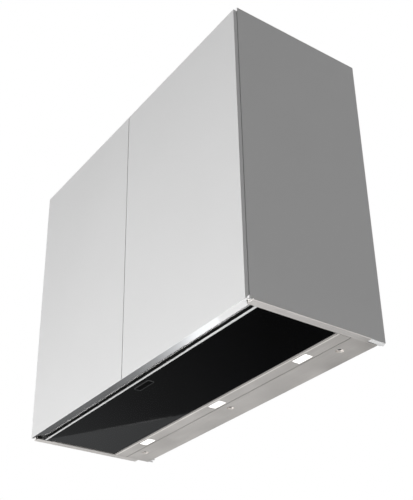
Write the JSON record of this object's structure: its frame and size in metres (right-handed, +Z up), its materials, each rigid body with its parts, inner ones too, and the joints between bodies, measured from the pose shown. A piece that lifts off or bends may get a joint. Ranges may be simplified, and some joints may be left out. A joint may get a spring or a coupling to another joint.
{
  "type": "island range hood",
  "caption": "Hanging range hood in a two-door cabinet housing, with a swing-down black glass intake panel, lamp bar, grease filters, centrifugal blower and top duct outlet.",
  "frame": {"origin": "bottom centre of the whole hood, at the lowest face of the steel side rails", "axes": "+X to the right seen from the front, -Y towards the front with the doors, +Z up to the ceiling"},
  "size_m": [0.898, 0.356, 0.771],
  "materials": {
    "door_lacquer": "satin light grey-white lacquer on board",
    "side_lacquer": "satin light grey-white lacquer on board",
    "carcass_white": "white melamine on board",
    "brushed_steel": "brushed stainless steel",
    "polished_steel": "polished stainless steel",
    "galvanised_steel": "galvanised sheet",
    "zinc_steel": "zinc-plated steel",
    "trim_aluminium": "bright anodised",
    "filter_aluminium": "mill finish",
    "black_glass": "polished black tempered glass",
    "black_steel": "black powder coat",
    "black_plastic": "fine textured",
    "button_black": "gloss",
    "bezel_grey": "satin dark anodised",
    "grey_plastic": "fine textured",
    "lamp_lens": "frosted",
    "rubber": "matt",
    "brass": "turned",
    "cast_iron": "laminated core",
    "circuit_board": "solder mask",
    "magnet_ceramic": "pressed",
    "aluminium_cast": "die cast"
  },
  "bodies": {
    "housing": {"top_panel": "carcass_white", "back_panel": "carcass_white", "left_side_panel": "side_lacquer", "right_side_panel": "side_lacquer", "hanger_bars": "zinc_steel", "corner_blocks": "grey_plastic", "pivot_brackets": "brushed_steel", "pivot_pins": "zinc_steel", "door_magnets": "magnet_ceramic", "front_profile": "polished_steel", "side_rails": "brushed_steel", "side_gaskets": "rubber", "rear_plate": "brushed_steel", "rear_plate_screws": "black_steel", "light_bar": "brushed_steel", "led_lenses": "lamp_lens", "led_modules": "filter_aluminium", "panel_hinge_brackets": "zinc_steel", "panel_magnets": "magnet_ceramic", "hood_housing": "galvanised_steel", "housing_screws": "zinc_steel", "filter_seat": "black_steel", "filter_frames": "filter_aluminium", "filter_meshes": "filter_aluminium", "blower_cover": "galvanised_steel", "cover_screws": "zinc_steel", "blower_scroll": "black_plastic", "motor_stator": "cast_iron", "motor_housing": "aluminium_cast", "motor_end_cap": "aluminium_cast", "motor_bearings": "zinc_steel", "motor_bracket": "zinc_steel", "outlet_collar": "black_plastic", "damper_pin": "zinc_steel", "duct_pipe": "galvanised_steel", "duct_clamp": "zinc_steel", "duct_outlet": "galvanised_steel", "control_box": "grey_plastic", "control_box_lid": "grey_plastic", "power_board": "circuit_board", "led_driver": "grey_plastic", "cable_grommet": "rubber"},
    "left_door": {"left_door": "door_lacquer", "left_door_fittings": "brass"},
    "right_door": {"right_door": "door_lacquer", "right_door_fittings": "brass"},
    "panel": {"glass_panel": "black_glass", "panel_trim": "trim_aluminium", "panel_tray": "black_steel", "panel_hinge_pins": "zinc_steel", "control_bezel": "bezel_grey", "control_module": "black_plastic"},
    "button": {"control_button": "button_black"},
    "impeller": {"impeller": "grey_plastic", "motor_shaft": "zinc_steel", "motor_rotor": "cast_iron"},
    "left_flap": {"left_damper_flap": "black_plastic"},
    "right_flap": {"right_damper_flap": "black_plastic"},
    "left_latch": {"left_filter_latch": "black_plastic"},
    "right_latch": {"right_filter_latch": "black_plastic"}
  },
  "joints": [
    {"name": "left_door_hinge", "type": "hinge", "parent": "housing", "child": "left_door", "pos_m": [-0.4378, -0.1737, 0], "axis": [0, 0, -1], "range_deg": [0, 100]},
    {"name": "right_door_hinge", "type": "hinge", "parent": "housing", "child": "right_door", "pos_m": [0.4378, -0.1737, 0], "axis": [0, 0, 1], "range_deg": [0, 100]},
    {"name": "panel_hinge", "type": "hinge", "parent": "housing", "child": "panel", "pos_m": [0, 0.048, 0.009], "axis": [1, 0, 0], "range_deg": [0, 85]},
    {"name": "button_press", "type": "slide", "parent": "panel", "child": "button", "axis": [0, 0, 1], "range_m": [0, 0.0015], "stiffness_N_per_m": 400},
    {"name": "impeller_spin", "type": "hinge", "parent": "housing", "child": "impeller", "pos_m": [0, -0.055, 0.235], "axis": [1, 0, 0], "continuous": true},
    {"name": "left_flap_hinge", "type": "hinge", "parent": "housing", "child": "left_flap", "pos_m": [0, 0.0165, 0.371], "axis": [0, 1, 0], "range_deg": [0, 75]},
    {"name": "right_flap_hinge", "type": "hinge", "parent": "housing", "child": "right_flap", "pos_m": [0, 0.0165, 0.371], "axis": [0, -1, 0], "range_deg": [0, 75]},
    {"name": "left_latch_slide", "type": "slide", "parent": "housing", "child": "left_latch", "axis": [0, 1, 0], "range_m": [0, 0.006], "stiffness_N_per_m": 300},
    {"name": "right_latch_slide", "type": "slide", "parent": "housing", "child": "right_latch", "axis": [0, 1, 0], "range_m": [0, 0.006], "stiffness_N_per_m": 300}
  ]
}
